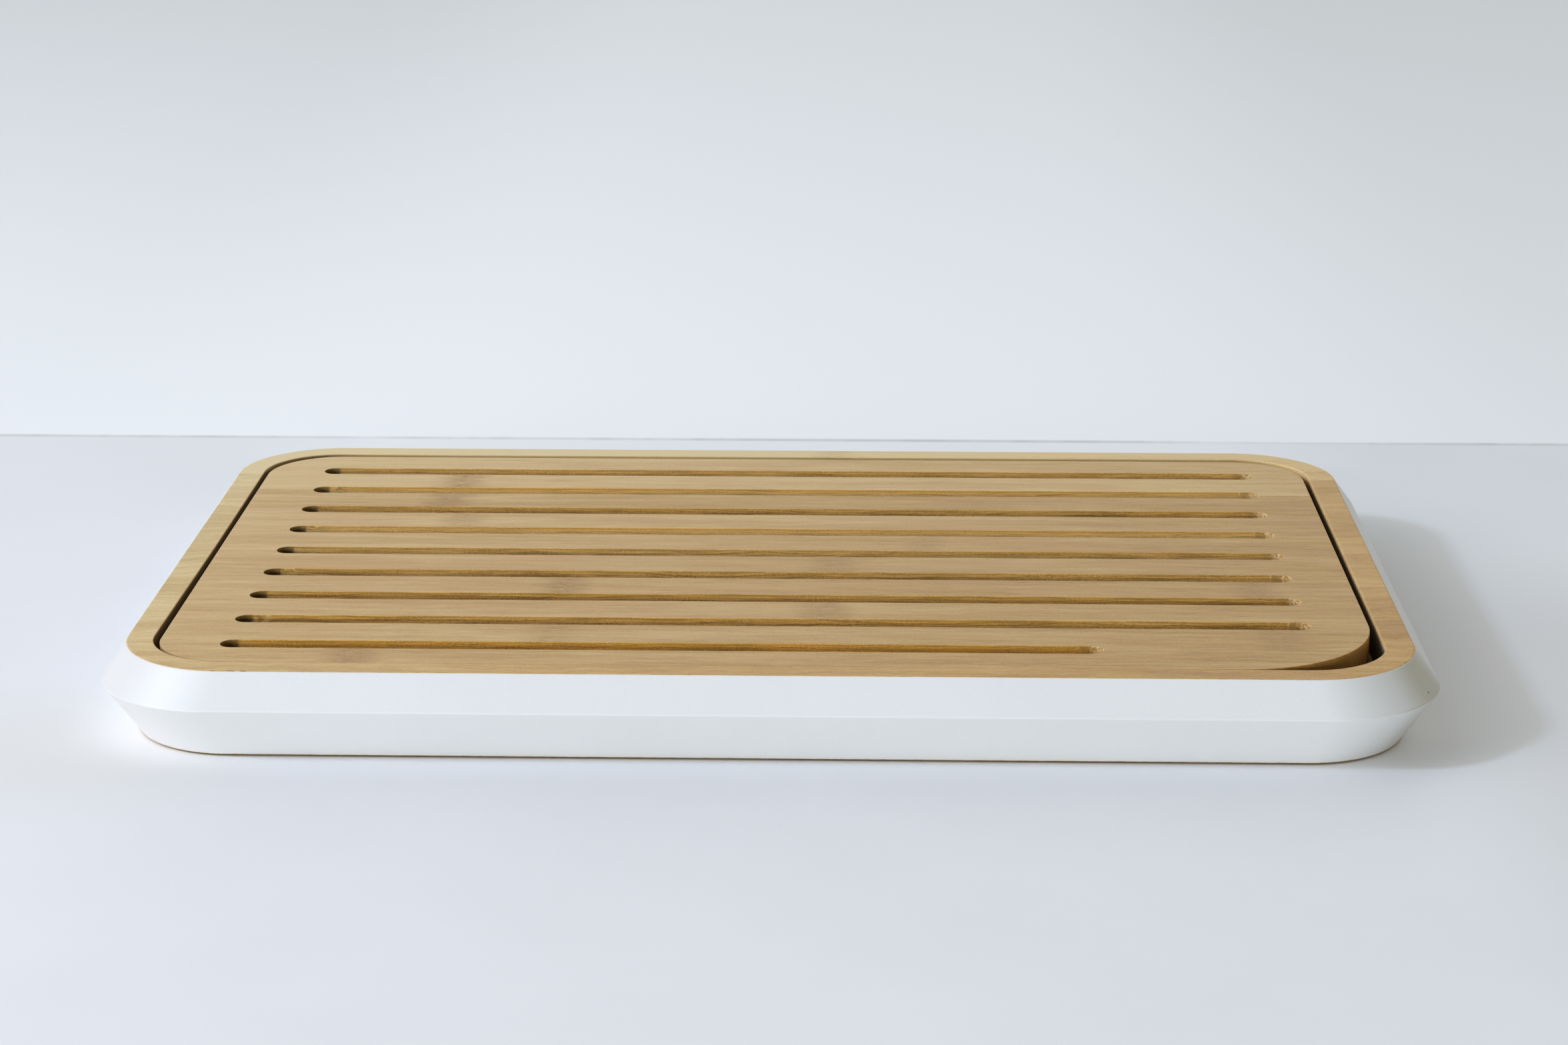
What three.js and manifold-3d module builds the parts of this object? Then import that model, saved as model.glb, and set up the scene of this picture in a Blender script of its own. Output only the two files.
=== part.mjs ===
// A bread board with a crumb catcher: a slotted bamboo board that lies loose in a painted bamboo tray.
// Millimetres, +Z up. The origin lies on the worktop under the middle of the tray, and the front faces -Y.
// The board is glued up from staves, and each crumb slot is milled along the glue line of two staves.

import * as THREE from 'three';
import Module from 'manifold-3d';
import { mergeVertices } from 'three/addons/utils/BufferGeometryUtils.js';

// Tray, outside. The flank runs out from the rim to the widest line, and back in to the base.
const TRAY_LENGTH = 420;
const TRAY_DEPTH = 280;
const TRAY_HEIGHT = 28.2;
const FLARE = 7.7;
const RIM_TO_WIDEST = 10.6;
const BASE_INSET = 2.9;
const RIM_CORNER_RADIUS = 35;
const WIDEST_CORNER_RADIUS = 39;
const BASE_CORNER_RADIUS = 33;

// Tray, inside. The floor panel sits in a rebate that is cut into the frame from below.
const RIM_WIDTH = 9;
const BASE_WALL = 3.2;
const FLOOR_THICKNESS = 6;
const GLUE_GAP = 0.3;

// Rest strips, glued on the floor panel along the four walls. They carry the board.
const REST_WIDTH = 8;
const REST_WALL_GAP = 0.3;
const REST_CORNER_ROOM = 8;

// Feet, pressed into pockets under the floor panel.
const FOOT_RADIUS = 7;
const FOOT_THICKNESS = 2.5;
const FOOT_PROUD = 0.5;
const FOOT_EDGE = 0.4;
const FOOT_FIT = 0.3;
const FOOT_INSET = 34;

// Slotted board. It lies loose in the opening, against the front wall, as it was last put down.
const BOARD_THICKNESS = 12;
const BOARD_LENGTH_PLAY = 4.5;
const BOARD_DEPTH_PLAY = 4.3;
const BOARD_RIGHT_GAP = 2.5;
const BOARD_FRONT_GAP = 0.3;
const BOARD_CORNER_RADIUS = 25;
const FINGER_CORNER_RADIUS = 45;

// Crumb slots. The front one stops short of the right end and leaves the board bare there.
const SLOT_COUNT = 9;
const SLOT_WIDTH = 7;
const SLOT_LEFT_MARGIN = 20;
const SLOT_RIGHT_MARGIN = 18.7;
const SLOT_FRONT_MARGIN = 17.6;
const SLOT_REAR_MARGIN = 20.6;
const FRONT_SLOT_RIGHT_MARGIN = 86.2;

// How finely round forms are cut, and how far a cutting body runs past what it cuts.
const CORNER_STEPS = 20;
const SLOT_END_STEPS = 12;
const FOOT_SIDES = 32;
const CUT_OVERRUN = 1;

// Places that follow from the sizes above
const rimLength = TRAY_LENGTH - 2 * FLARE;
const rimDepth = TRAY_DEPTH - 2 * FLARE;
const openingLength = rimLength - 2 * RIM_WIDTH;
const openingDepth = rimDepth - 2 * RIM_WIDTH;
const openingRadius = RIM_CORNER_RADIUS - RIM_WIDTH;
const baseLength = rimLength - 2 * BASE_INSET;
const baseDepth = rimDepth - 2 * BASE_INSET;
const rebateLength = baseLength - 2 * BASE_WALL;
const rebateDepth = baseDepth - 2 * BASE_WALL;
const rebateRadius = BASE_CORNER_RADIUS - BASE_WALL;

const baseZ = FOOT_PROUD;
const floorTopZ = baseZ + FLOOR_THICKNESS;
const rimZ = baseZ + TRAY_HEIGHT;
const widestZ = rimZ - RIM_TO_WIDEST;
const boardZ = rimZ - BOARD_THICKNESS;

const boardLength = openingLength - BOARD_LENGTH_PLAY;
const boardDepth = openingDepth - BOARD_DEPTH_PLAY;
const boardRight = openingLength / 2 - BOARD_RIGHT_GAP;
const boardLeft = boardRight - boardLength;
const boardFront = -openingDepth / 2 + BOARD_FRONT_GAP;
const boardRear = boardFront + boardDepth;
const slotPitch = (boardDepth - SLOT_FRONT_MARGIN - SLOT_REAR_MARGIN) / (SLOT_COUNT - 1);

// Finishes
const bareBamboo = new THREE.MeshStandardMaterial({ color: 0xc3a06c, roughness: 0.55, metalness: 0 });
const innerBamboo = new THREE.MeshStandardMaterial({ color: 0xb08a52, roughness: 0.65, metalness: 0 });
const whiteLacquer = new THREE.MeshStandardMaterial({ color: 0xe6e9ec, roughness: 0.35, metalness: 0 });
const greyRubber = new THREE.MeshStandardMaterial({ color: 0x5a5c5e, roughness: 0.85, metalness: 0 });

const wasm = await Module();
wasm.setup();

// Solids and meshes
function toSolid(geometry) {
  const bare = geometry.clone();
  bare.deleteAttribute('normal');
  bare.deleteAttribute('uv');
  const merged = mergeVertices(bare);
  const vertProperties = new Float32Array(merged.attributes.position.array);
  const triVerts = new Uint32Array(merged.index.array);
  return new wasm.Manifold(new wasm.Mesh({ numProp: 3, vertProperties, triVerts }));
}

function toGeometry(solid) {
  const mesh = solid.getMesh();
  const geometry = new THREE.BufferGeometry();
  geometry.setAttribute('position', new THREE.BufferAttribute(mesh.vertProperties, 3));
  geometry.setIndex(new THREE.BufferAttribute(mesh.triVerts, 1));
  geometry.computeVertexNormals();
  return geometry;
}

function named(name, geometry, material) {
  const mesh = new THREE.Mesh(geometry, material);
  mesh.name = name;
  return mesh;
}

// Flat outlines
function roundedRectangle(left, right, front, rear, radii) {
  const shape = new THREE.Shape();
  shape.absarc(right - radii.frontRight, front + radii.frontRight, radii.frontRight, -Math.PI / 2, 0, false);
  shape.absarc(right - radii.rearRight, rear - radii.rearRight, radii.rearRight, 0, Math.PI / 2, false);
  shape.absarc(left + radii.rearLeft, rear - radii.rearLeft, radii.rearLeft, Math.PI / 2, Math.PI, false);
  shape.absarc(left + radii.frontLeft, front + radii.frontLeft, radii.frontLeft, Math.PI, 1.5 * Math.PI, false);
  shape.closePath();
  return shape;
}

function evenRectangle(length, depth, radius) {
  const radii = { frontRight: radius, rearRight: radius, rearLeft: radius, frontLeft: radius };
  return roundedRectangle(-length / 2, length / 2, -depth / 2, depth / 2, radii);
}

function slotOutline(left, right, y, width) {
  const radius = width / 2;
  const shape = new THREE.Shape();
  shape.absarc(right - radius, y, radius, -Math.PI / 2, Math.PI / 2, false);
  shape.absarc(left + radius, y, radius, Math.PI / 2, 1.5 * Math.PI, false);
  shape.closePath();
  return shape;
}

function slab(shape, thickness, curveSegments) {
  return new THREE.ExtrudeGeometry(shape, { depth: thickness, bevelEnabled: false, curveSegments });
}

// Tray frame: one closed skin that passes through a loop of rounded rectangles, each at its own height.
function ringPoints(length, depth, radius) {
  const points = [];
  const corners = [
    { x: length / 2 - radius, y: -depth / 2 + radius, start: -Math.PI / 2 },
    { x: length / 2 - radius, y: depth / 2 - radius, start: 0 },
    { x: -length / 2 + radius, y: depth / 2 - radius, start: Math.PI / 2 },
    { x: -length / 2 + radius, y: -depth / 2 + radius, start: Math.PI },
  ];
  for (const corner of corners) {
    for (let step = 0; step <= CORNER_STEPS; step += 1) {
      const angle = corner.start + (step / CORNER_STEPS) * (Math.PI / 2);
      points.push([corner.x + radius * Math.cos(angle), corner.y + radius * Math.sin(angle)]);
    }
  }
  return points;
}

function ringSkin(levels) {
  const positions = [];
  const index = [];
  const rings = levels.map((level) => ringPoints(level.length, level.depth, level.radius));
  const count = rings[0].length;
  rings.forEach((ring, row) => {
    for (const [x, y] of ring) {
      positions.push(x, y, levels[row].z);
    }
  });
  for (let row = 0; row < rings.length; row += 1) {
    const nextRow = (row + 1) % rings.length;
    for (let column = 0; column < count; column += 1) {
      const nextColumn = (column + 1) % count;
      const a = row * count + column;
      const b = row * count + nextColumn;
      const c = nextRow * count + nextColumn;
      const d = nextRow * count + column;
      index.push(a, d, c, a, c, b);
    }
  }
  const geometry = new THREE.BufferGeometry();
  geometry.setAttribute('position', new THREE.Float32BufferAttribute(positions, 3));
  geometry.setIndex(index);
  geometry.computeVertexNormals();
  return geometry;
}

function trayFrame() {
  const rim = { length: rimLength, depth: rimDepth, radius: RIM_CORNER_RADIUS };
  const widest = { length: TRAY_LENGTH, depth: TRAY_DEPTH, radius: WIDEST_CORNER_RADIUS };
  const base = { length: baseLength, depth: baseDepth, radius: BASE_CORNER_RADIUS };
  const rebate = { length: rebateLength, depth: rebateDepth, radius: rebateRadius };
  const opening = { length: openingLength, depth: openingDepth, radius: openingRadius };
  const geometry = ringSkin([
    { ...rim, z: rimZ },
    { ...widest, z: widestZ },
    { ...base, z: baseZ },
    { ...rebate, z: baseZ },
    { ...rebate, z: floorTopZ },
    { ...opening, z: floorTopZ },
    { ...opening, z: rimZ },
  ]);
  return named('tray_frame', geometry, whiteLacquer);
}

// Floor panel, with a round pocket for each foot
const footX = baseLength / 2 - FOOT_INSET;
const footY = baseDepth / 2 - FOOT_INSET;
const footPlaces = [
  { name: 'foot_front_left', x: -footX, y: -footY },
  { name: 'foot_front_right', x: footX, y: -footY },
  { name: 'foot_rear_left', x: -footX, y: footY },
  { name: 'foot_rear_right', x: footX, y: footY },
];

function trayFloor() {
  const outline = evenRectangle(
    rebateLength - 2 * GLUE_GAP,
    rebateDepth - 2 * GLUE_GAP,
    rebateRadius - GLUE_GAP,
  );
  let panel = toSolid(slab(outline, FLOOR_THICKNESS, CORNER_STEPS).translate(0, 0, baseZ));
  const pocketHeight = FOOT_THICKNESS + CUT_OVERRUN;
  for (const place of footPlaces) {
    const pocket = new THREE.CylinderGeometry(
      FOOT_RADIUS + FOOT_FIT,
      FOOT_RADIUS + FOOT_FIT,
      pocketHeight,
      FOOT_SIDES,
    );
    pocket.rotateX(Math.PI / 2);
    pocket.translate(place.x, place.y, FOOT_THICKNESS - pocketHeight / 2);
    panel = panel.subtract(toSolid(pocket));
  }
  return named('tray_floor', toGeometry(panel), innerBamboo);
}

function foot(place) {
  const profile = [
    new THREE.Vector2(0, 0),
    new THREE.Vector2(FOOT_RADIUS - FOOT_EDGE, 0),
    new THREE.Vector2(FOOT_RADIUS, FOOT_EDGE),
    new THREE.Vector2(FOOT_RADIUS, FOOT_THICKNESS),
    new THREE.Vector2(0, FOOT_THICKNESS),
  ];
  const geometry = new THREE.LatheGeometry(profile, FOOT_SIDES);
  geometry.rotateX(Math.PI / 2);
  const mesh = named(place.name, geometry, greyRubber);
  mesh.position.set(place.x, place.y, 0);
  return mesh;
}

// Rest strips. They stop before the round corners, which leaves room for a fingertip at the finger corner.
const restHeight = boardZ - floorTopZ;
const restOffset = REST_WALL_GAP + REST_WIDTH / 2;
const longRestLength = openingLength - 2 * (openingRadius + REST_CORNER_ROOM);
const shortRestLength = openingDepth - 2 * (openingRadius + REST_CORNER_ROOM);

function restStrip(name, x, y, length, width) {
  const mesh = named(name, new THREE.BoxGeometry(length, width, restHeight), innerBamboo);
  mesh.position.set(x, y, floorTopZ + restHeight / 2);
  return mesh;
}

function restStrips() {
  const sideX = openingLength / 2 - restOffset;
  const sideY = openingDepth / 2 - restOffset;
  return [
    restStrip('rest_strip_front', 0, -sideY, longRestLength, REST_WIDTH),
    restStrip('rest_strip_rear', 0, sideY, longRestLength, REST_WIDTH),
    restStrip('rest_strip_left', -sideX, 0, REST_WIDTH, shortRestLength),
    restStrip('rest_strip_right', sideX, 0, REST_WIDTH, shortRestLength),
  ];
}

// Slotted board: the whole panel with its slots, then split along the middle of the slots into staves
function slotY(place) {
  return boardFront + SLOT_FRONT_MARGIN + place * slotPitch;
}

function slottedPanel() {
  const radii = {
    frontRight: FINGER_CORNER_RADIUS,
    rearRight: BOARD_CORNER_RADIUS,
    rearLeft: BOARD_CORNER_RADIUS,
    frontLeft: BOARD_CORNER_RADIUS,
  };
  const outline = roundedRectangle(boardLeft, boardRight, boardFront, boardRear, radii);
  let panel = toSolid(slab(outline, BOARD_THICKNESS, CORNER_STEPS));
  for (let place = 0; place < SLOT_COUNT; place += 1) {
    const rightMargin = place === 0 ? FRONT_SLOT_RIGHT_MARGIN : SLOT_RIGHT_MARGIN;
    const slot = slotOutline(boardLeft + SLOT_LEFT_MARGIN, boardRight - rightMargin, slotY(place), SLOT_WIDTH);
    const cutter = slab(slot, BOARD_THICKNESS + 2 * CUT_OVERRUN, SLOT_END_STEPS).translate(0, 0, -CUT_OVERRUN);
    panel = panel.subtract(toSolid(cutter));
  }
  return panel;
}

function stave(panel, number) {
  const front = number === 0 ? boardFront - CUT_OVERRUN : slotY(number - 1);
  const rear = number === SLOT_COUNT ? boardRear + CUT_OVERRUN : slotY(number);
  const length = boardLength + 2 * CUT_OVERRUN;
  const height = BOARD_THICKNESS + 2 * CUT_OVERRUN;
  const band = new THREE.BoxGeometry(length, rear - front, height);
  band.translate((boardLeft + boardRight) / 2, (front + rear) / 2, BOARD_THICKNESS / 2);
  const geometry = toGeometry(panel.intersect(toSolid(band)));
  const mesh = named('board_stave_' + String(number + 1).padStart(2, '0'), geometry, bareBamboo);
  mesh.position.z = boardZ;
  return mesh;
}

function slottedBoard() {
  const panel = slottedPanel();
  const board = new THREE.Group();
  for (let number = 0; number <= SLOT_COUNT; number += 1) {
    board.add(stave(panel, number));
  }
  return board;
}

const tray = new THREE.Group();
tray.add(trayFrame(), trayFloor(), ...restStrips(), ...footPlaces.map(foot));

const breadBoard = new THREE.Group();
breadBoard.add(tray, slottedBoard());

export default breadBoard;
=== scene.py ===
import math

import bmesh
import bpy
from mathutils import Matrix, Vector, noise


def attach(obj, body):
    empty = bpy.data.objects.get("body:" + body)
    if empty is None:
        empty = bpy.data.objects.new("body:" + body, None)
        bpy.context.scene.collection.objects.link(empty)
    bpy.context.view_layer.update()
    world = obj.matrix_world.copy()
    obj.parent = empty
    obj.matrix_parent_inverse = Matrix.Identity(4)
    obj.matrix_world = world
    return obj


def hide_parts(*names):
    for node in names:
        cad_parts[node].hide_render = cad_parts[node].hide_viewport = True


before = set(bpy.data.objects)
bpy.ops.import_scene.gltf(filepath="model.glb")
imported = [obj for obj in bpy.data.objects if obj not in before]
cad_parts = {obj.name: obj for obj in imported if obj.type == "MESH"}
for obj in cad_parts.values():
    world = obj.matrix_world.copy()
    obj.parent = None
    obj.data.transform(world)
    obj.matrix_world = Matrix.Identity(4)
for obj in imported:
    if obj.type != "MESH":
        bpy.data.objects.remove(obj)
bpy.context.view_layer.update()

# Every shape number is in millimetres, with the origin on the worktop under the middle of the tray
MM = 0.001

# Tray frame
RIM_Z = 28.7
WIDEST_Z = 18.1
BASE_Z = 0.5
FLOOR_TOP_Z = 6.5
RIM_HALF = (202.3, 132.3)
RIM_RADIUS = 35.0
WIDEST_HALF = (210.0, 140.0)
WIDEST_RADIUS = 39.0
BASE_HALF = (199.4, 129.4)
BASE_RADIUS = 33.0
REBATE_HALF = (196.2, 126.2)
REBATE_RADIUS = 29.8
OPENING_HALF = (193.3, 123.3)
OPENING_RADIUS = 26.0
OPENING_LEAN = 0.8
LEAN_REACH = 1.9
RIM_OUTER_EASE = 0.5
RIM_INNER_EASE = 0.22
WIDEST_EASE = 0.4
BASE_EASE = 0.4
STEP_EASE = 0.25
INSIDE_EASE = 0.3
INSIDE_EASE_STEPS = 2
HOLD = 0.2
EASE_STEPS = 4
CORNER_STEPS = 40
SIDE_STEPS = 24
FLANK_ROWS = 6
REBATE_ROWS = 2
TOP_ROWS = 3
FRAME_WAVE = 0.07
FRAME_WAVE_LENGTH = 55.0
FRAME_WAVE_SEED = 11.0

# Board
BOARD_LOW_Z = 16.7
BOARD_TOP_Z = 28.7
BOARD_LEFT = -191.3
BOARD_RIGHT = 190.8
BOARD_FRONT = -123.1
BOARD_REAR = 119.3
BOARD_RADIUS = 25.0
FINGER_RADIUS = 45.0
FRONT_LEFT_RADIUS = 22.5
FRONT_ARRIS = 0.07
FRONT_FACING = 0.9
BOARD_ARRIS = 0.18
SLOT_ARRIS_SHARE = 0.7
ARRIS_STEPS = 4
WALL_ROWS = 8
OUTLINE_STATION = 8.0
CUT_SPARE = 0.35

# Slots, counted from the front
SLOT_COUNT = 9
SLOT_WIDTH = 7.0
SLOT_LEFT = -171.3
SLOT_LEFT_STEP = 0.11
SLOT_RIGHT = 172.1
SLOT_SPARE = 1.0
FRONT_SLOT_RIGHT = 104.6
SLOT_FIRST_Y = -105.4
SLOT_PITCH = 25.5125
SLOT_END_STEPS = 14
SLOT_STATION = 4.0
SLOT_END_STATION = 0.5
SLOT_END_ZONE = 10.0
SLOT_WEAR = 0.22
SLOT_WEAR_GROWTH = 0.0008
TORN_DEPTH = 0.16
TORN_FADE = 4.0
TORN_GRAIN = (1.1, 0.9, 0.8)
EDGE_WANDER = 0.05
EDGE_WANDER_LENGTH = 6.0
EDGE_WANDER_SEED = 3.0
NICK_FROM_TIP = 6.5

# Feet, with their profile below as radius and height
FOOT_X = 165.4
FOOT_Y = 95.4
FOOT_SIDES = 64
FOOT_PROFILE = (
    (5.2, 0.25), (5.7, 0.2), (6.0, 0.05), (6.2, 0.0), (6.55, 0.0),
    (6.8, 0.06), (6.95, 0.2), (7.0, 0.45), (7.0, 2.35), (6.85, 2.5),
)

# Shading: edges that turn by more than this stay sharp
BOARD_SHARP = math.radians(50.0)
FOOT_SHARP = math.radians(60.0)
# Points of a mesh that lie closer than this, in metres, become one
WELD = 1e-7

# Worktop, and the seam between it and the wall behind it
WORKTOP_REACH = 20000.0
SEAM_Y = 256.3
# Brightest spot of the worktop, by the tray's front left corner, where painted shade makes its colour a
# little darker and warmer
GLOW_PLACE = (-212.0, -122.0, 0.0)

# Camera, solved from the photograph: its place in metres, its angles in degrees
PHOTO_WIDTH = 2352
FOCAL_PIXELS = 5066.0
SENSOR_WIDTH = 36.0
CLIP_NEAR = 0.05
CLIP_FAR = 60.0
CAMERA_PLACE = (0.03274, -1.10665, 0.36111)
CAMERA_YAW = -1.570
CAMERA_PITCH = 16.237
CAMERA_ROLL = 0.055

# What the lamps look at, in metres
LIGHT_AIM = (0.0, 0.0, 0.02)
# Lamps: name, place and size in metres, power, colour
LAMPS = (
    ("window_light", (-2.37, -0.85, 1.63), (0.25, 0.25), 32.2, (0.60, 0.79, 1.0)),
    ("window_glow", (-1.58, -0.57, 1.09), (1.2, 1.0), 11.8, (1.0, 0.85, 0.93)),
    ("front_fill", (-0.4, -2.4, 0.3), (2.4, 0.5), 31.0, (0.97, 1.0, 0.97)),
)
# Room light from one side: direction, colour
ROOM_SIDES = (
    ((-1.0, 0.0, 0.0), (0.88, 1.00, 1.03)),
    ((0.0, 1.0, 0.0), (0.87, 0.87, 0.86)),
    ((1.0, 0.0, 0.0), (0.17, 0.14, 0.03)),
    ((0.707, 0.707, 0.0), (0.20, 0.22, 0.27)),
)

# Colours of the wood
DARK_FIBRE = (0.300, 0.160, 0.050, 1.0)
MID_FIBRE = (0.552, 0.338, 0.120, 1.0)
LIGHT_FIBRE = (0.735, 0.522, 0.249, 1.0)
PINK_TINT = (0.545, 0.320, 0.148, 1.0)
KNUCKLE_DARK = (0.320, 0.165, 0.042, 1.0)
KNUCKLE_LIGHT = (0.720, 0.530, 0.300, 1.0)
ORANGE_WALL = (0.750, 0.375, 0.036, 1.0)
BROWN_WALL = (0.650, 0.385, 0.100, 1.0)
DARK_WALL = (0.230, 0.115, 0.020, 1.0)
LIGHT_WALL = (0.830, 0.560, 0.200, 1.0)
# Pale wall colour, painted low in the slots as light against their shade
PALE_WALL = (0.970, 0.700, 0.285, 1.0)
# Painted light and shade in the slots: the lower wall lifted brighter, and the left ends darkened
LOW_WALL_LIGHT_LIFT = (1.18, 1.18, 1.18, 1.0)
LEFT_END_SHADE = (0.090, 0.055, 0.016, 1.0)
TORN_LIGHT = (0.820, 0.600, 0.320, 1.0)
EDGE_ORANGE = (0.42, 0.20, 0.03, 1.0)
# Painted highlight for the board's outer arris and front wall, and painted shade for its front left corner
ARRIS_HIGHLIGHT = (0.740, 0.500, 0.240, 1.0)
CORNER_SHADE = (0.26, 0.16, 0.06, 1.0)
SIDE_DARKER = (0.80, 0.68, 0.45, 1.0)
# Rim tints: golden at the front and the right, paler at the rear and the left as painted sheen and light
RIM_GOLDEN = (1.07, 1.03, 0.96, 1.0)
RIM_SHEEN_TINT = (1.09, 1.20, 1.35, 1.0)
# Painted light and shade of the rim's inner walls: dark to golden along the rear, and dark below the rim
REAR_LIT_GOLDEN = (0.66, 0.47, 0.20, 1.0)
REAR_SHADE_DARK = (0.17, 0.11, 0.045, 1.0)
REAR_SHADE_BROWN = (0.30, 0.20, 0.08, 1.0)
INNER_SHADE = (0.085, 0.070, 0.050, 1.0)
INSIDE_DARKER = (0.74, 0.68, 0.60, 1.0)

# Colours of the lacquer, the rubber and the worktop
LACQUER_CLOUDS = ((0.715, 0.72, 0.73, 1.0), (0.73, 0.735, 0.745, 1.0))
# Painted shade on the lacquer's flanks facing left and at its front right corner, painted light on its flank
# facing right
LACQUER_LEFT_SHADE = (0.606, 0.580, 0.565, 1.0)
LACQUER_LOW_LEFT_SHADE = (0.715, 0.692, 0.690, 1.0)
LACQUER_RIGHT_LIT = (0.930, 0.935, 0.935, 1.0)
LACQUER_CORNER_SHADE = (0.575, 0.552, 0.475, 1.0)
SPECK_DARK = (0.06, 0.055, 0.05, 1.0)
RUBBER_SCUFFS = ((0.030, 0.030, 0.032, 1.0), (0.060, 0.060, 0.062, 1.0))
WORKTOP_CLOUDS = ((0.845, 0.85, 0.87, 1.0), (0.865, 0.87, 0.89, 1.0))
SHADOW_GREY = (0.750, 0.740, 0.735, 1.0)
# Painted shade toning down the pool of light by the tray's front left corner
GLOW_WHITE = (0.838, 0.822, 0.800, 1.0)
BACKDROP_WHITE = (0.97, 0.98, 0.995, 1.0)
SEAM_GREY = (0.25, 0.26, 0.27, 1.0)
# Painted glow on the wall and on the worktop behind the tray, seen only by the camera
WALL_GLOW = (0.90, 0.93, 1.0, 1.0)

# Shine and relief: roughness from 0 to 1, relief in millimetres
WOOD_SPECULAR = 0.3
MILLED_ROUGHNESS = 0.75
WORKTOP_ROUGHNESS = 0.55
WOOD_RELIEF = 0.07
MILLED_RELIEF = 0.3
LACQUER_RELIEF = 0.05
RUBBER_RELIEF = 0.08
WORKTOP_RELIEF = 0.02

# Marks on the tray: a dark speck on the flank, and nicks in the rim's front edge as x and size
SPECK_PLACE = (204.1, -118.3, 20.1)
EDGE_CHIPS = ((-169.0, 0.0), (-163.5, 0.25), (-159.6, 0.1))
CHIP_STRETCH = (0.6, 1.0, 0.0)
CHIP_Y = -RIM_HALF[1] + 0.1

# Knuckles: x, lowest y, highest y, strength, pinkness
BOARD_KNUCKLES = (
    (-118.0, 73.2, 98.7, 0.85, 0.30),
    (-121.0, 47.7, 73.2, 0.85, 0.50),
    (-111.5, 22.2, 47.7, 0.55, 0.10),
    (51.0, -3.35, 22.2, 0.45, 0.10),
    (18.5, -28.9, -3.35, 0.60, 0.20),
    (-69.0, -54.4, -28.9, 0.85, 0.25),
    (-69.0, -105.4, -79.9, 0.50, 0.20),
    (17.0, -79.9, -54.4, 0.75, 0.25),
    (158.0, -54.4, -28.9, 0.65, 0.50),
    (161.0, -105.4, -79.9, 0.5, 0.40),
    (-129.0, -130.0, -105.4, 0.80, 0.80),
)
RIM_KNUCKLES = (
    (18.5, 119.0, 133.0, 0.3, 0.0),
    (198.0, 36.0, 50.0, 0.35, 0.2),
    (197.0, -13.0, 1.0, 0.35, 0.2),
)
# Staves from the front: lightness at the left, pinkness, lightness at the right
STAVE_TONES = (
    (0.54, 0.10, 0.52), (0.52, 0.15, 0.54), (0.55, 0.30, 0.57), (0.52, 0.45, 0.54),
    (0.54, 0.55, 0.56), (0.61, 0.35, 0.53), (0.74, 0.50, 0.57), (0.53, 0.35, 0.50),
    (0.86, 0.25, 0.86), (0.78, 0.25, 0.77),
)
# Rim strips from the front: lightness at the left, pinkness, lightness at the right
RIM_TONES = (
    (0.50, 0.10, 0.50), (0.56, 0.00, 0.52), (0.58, 0.30, 0.36), (0.64, 0.00, 0.45),
    (0.50, 0.10, 0.52), (0.60, 0.00, 0.70), (0.50, 0.20, 0.60), (0.56, 0.05, 0.67),
    (0.47, 0.25, 0.49), (0.64, 0.00, 0.65), (0.62, 0.10, 0.60), (0.74, 0.00, 0.56),
    (0.97, 0.00, 0.93), (1.08, 0.00, 1.08),
)
# Slot walls from the front: how orange, how dark, how pale low down, which is painted light against the
# slot's shade
WALL_TONES = (
    (0.95, 0.45, 0.10), (0.60, 0.70, 0.35), (0.35, 0.75, 0.25), (0.25, 0.65, 0.45),
    (0.20, 0.60, 0.75), (0.30, 0.10, 1.00), (0.25, 0.65, 0.35), (0.45, 0.15, 1.00),
    (0.25, 0.40, 0.55),
)
# Strips of each wood: seed of its grain, sway and ripple of its fibres in millimetres, contrast
BOARD_GRAIN = (0.0, 1.4, 0.5, 1.0)
RIM_GRAIN = (3.0, 3.2, 2.2, 0.85)
INSIDE_GRAIN = (9.0, 1.4, 0.5, 0.9)

# Kinds of noise in the wood: stretch along x, y and z, then detail and roughness
SWAY = ((0.013, 0.05, 1.0), 2.0, 0.5)
RIPPLE = ((0.07, 0.045, 1.0), 1.0, 0.5)
CRUMPLE = ((0.20, 0.40, 1.0), 3.0, 0.65)
KNUCKLE = ((0.06, 0.30, 1.0), 3.0, 0.6)
FLECK = ((0.30, 1.0, 1.0), 2.0, 0.6)
BROAD = ((0.011, 0.12, 0.12), 2.0, 0.5)
BAND = ((0.024, 0.34, 0.34), 2.0, 0.55)
STREAK = ((0.050, 1.00, 1.00), 2.0, 0.6)
FIBRE = ((0.110, 2.30, 2.30), 2.0, 0.6)
GRAIN = ((1.1, 2.6, 2.6), 2.0, 0.7)
PATCH = ((0.016, 0.17, 0.17), 2.0, 0.5)
# Kinds of noise in the slot walls, one with a distortion
MEANDER = ((0.016, 1.0, 3.0), 2.0, 0.5)
RUFFLE = ((0.14, 1.0, 7.0), 2.0, 0.5)
DRIFT = ((0.025, 1.0, 9.0), 2.0, 0.5)
LAYER = ((0.030, 5.0, 1.6), 3.0, 0.65, 0.2)
LINE = ((0.045, 5.0, 3.6), 1.0, 0.5)
CRUMB = ((1.3, 1.7, 2.6), 3.0, 0.8)
TICK = ((2.6, 0.3, 0.45), 2.0, 0.7)
TORN = ((1.1, 1.1, 1.0), 3.0, 0.7)
LUMP = ((0.50, 0.9, 1.2), 2.0, 0.6)
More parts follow.
